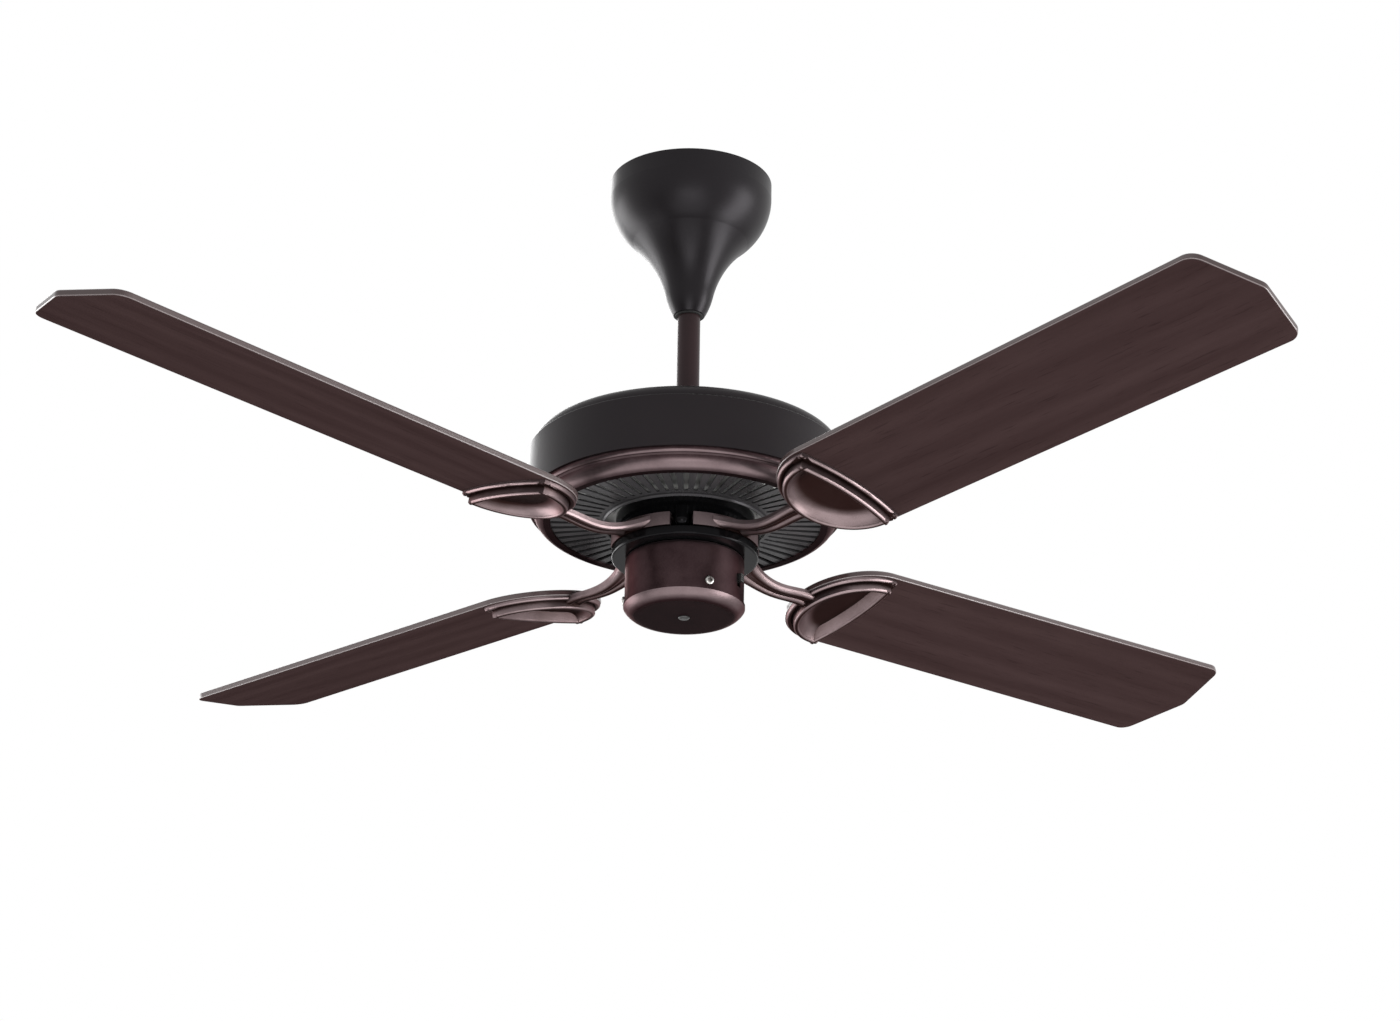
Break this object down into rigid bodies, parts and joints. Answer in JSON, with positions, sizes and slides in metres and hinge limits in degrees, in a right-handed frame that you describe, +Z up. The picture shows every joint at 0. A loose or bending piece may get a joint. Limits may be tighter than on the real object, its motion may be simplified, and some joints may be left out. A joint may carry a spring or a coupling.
{
  "type": "ceiling fan",
  "caption": "Ceiling fan on a downrod: bell canopy, drum motor housing with a radial vent plate, pitched wooden blades on cast irons, and a switch cup below with a reversing slide.",
  "frame": {"origin": "the point of the ceiling on the fan's upright axis, at the canopy's rim", "axes": "+Z up along the fan's axis, -Y towards the picture's camera"},
  "size_m": [1.0306, 1.0306, 0.4222],
  "materials": {
    "canopy_enamel": "satin dark enamel",
    "housing_enamel": "satin dark enamel",
    "bronze": "semi-gloss dark bronze",
    "vent_enamel": "semi-gloss black",
    "hub_black": "gloss black",
    "rosewood": "satin lacquered dark wood",
    "zinc_steel": "zinc plated",
    "screw_steel": "bright plated",
    "rubber_black": "matte",
    "cast_alloy": "as cast",
    "plastic_black": "gloss",
    "fibre": "matte red fibre"
  },
  "bodies": {
    "hanger": {"downrod": "housing_enamel", "shackle_straps": "zinc_steel", "shackle_roller": "rubber_black", "shackle_bolts": "zinc_steel", "shackle_nuts": "zinc_steel", "coupling": "housing_enamel", "collar_bolt": "zinc_steel", "collar_nut": "zinc_steel", "hanging_plate": "zinc_steel", "motor_shaft": "zinc_steel", "housing_drum": "housing_enamel", "drum_screws": "screw_steel", "trim_ring": "bronze", "vent_plate": "vent_enamel", "stator": "zinc_steel", "cup_tray": "hub_black", "switch_cup": "bronze", "shaft_nut": "zinc_steel", "switch_cap": "bronze", "cup_screws": "screw_steel", "cap_plug": "plastic_black", "switch_body": "plastic_black"},
    "canopy": {"canopy": "canopy_enamel", "canopy_grip": "rubber_black"},
    "rotor": {"rotor": "cast_alloy", "hub": "hub_black", "iron_screws": "screw_steel", "blade_washers": "fibre", "blade_screws": "screw_steel", "blade_iron_1": "bronze", "blade_iron_2": "bronze", "blade_iron_3": "bronze", "blade_iron_4": "bronze", "blade_1": "rosewood", "blade_2": "rosewood", "blade_3": "rosewood", "blade_4": "rosewood"},
    "reverser": {"switch_knob": "plastic_black"}
  },
  "joints": [
    {"name": "fan_spin", "type": "hinge", "parent": "hanger", "child": "rotor", "pos_m": [0, 0, -0.368], "axis": [0, 0, 1], "continuous": true},
    {"name": "canopy_slide", "type": "slide", "parent": "hanger", "child": "canopy", "axis": [0, 0, -1], "range_m": [0, 0.06]},
    {"name": "reverse_slide", "type": "slide", "parent": "hanger", "child": "reverser", "axis": [0, 0, -1], "range_m": [0, 0.004]}
  ]
}
